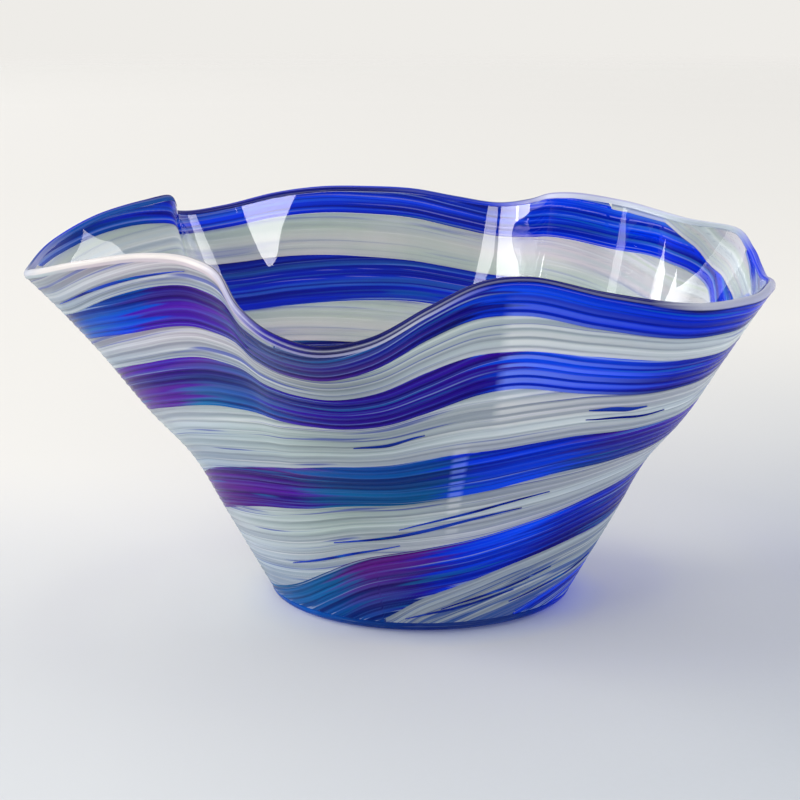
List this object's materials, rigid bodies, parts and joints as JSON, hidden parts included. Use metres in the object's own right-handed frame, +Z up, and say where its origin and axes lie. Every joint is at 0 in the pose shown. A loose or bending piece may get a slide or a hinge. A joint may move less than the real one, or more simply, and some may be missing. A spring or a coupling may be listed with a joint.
{
  "type": "art glass bowl",
  "caption": "Fluted blown glass bowl with a wavy fire-polished rim, spiral cobalt and opal stripes on clear glass, and a flat round foot",
  "frame": {"origin": "centre of the foot's resting plane, on the axis that the bowl was blown round", "axes": "+Z up out of the bowl's mouth, X along the widest way across, -Y towards the low front lobe of the rim"},
  "size_m": [0.2785, 0.2677, 0.1454],
  "materials": {
    "clear_glass": "clear blown glass, fire-polished inside",
    "cobalt_glass": "cobalt blue glass shading to teal and violet, with a fumed iridescent lustre",
    "opal_glass": "translucent opal glass with fine drawn streaks and a faint pearly lustre",
    "lip_glass": "clear glass, melted round and glossy",
    "foot_glass": "thick glass tinted by the stripes above it, ground flat where it rests"
  },
  "bodies": {
    "root": {"inner_gather": "clear_glass", "cobalt_stripe_1": "cobalt_glass", "cobalt_stripe_2": "cobalt_glass", "opal_stripe_1": "opal_glass", "opal_stripe_2": "opal_glass", "lip_bead": "lip_glass", "foot_pad": "foot_glass", "pontil_seal": "clear_glass", "stray_cobalt_threads": "cobalt_glass"}
  },
  "joints": []
}
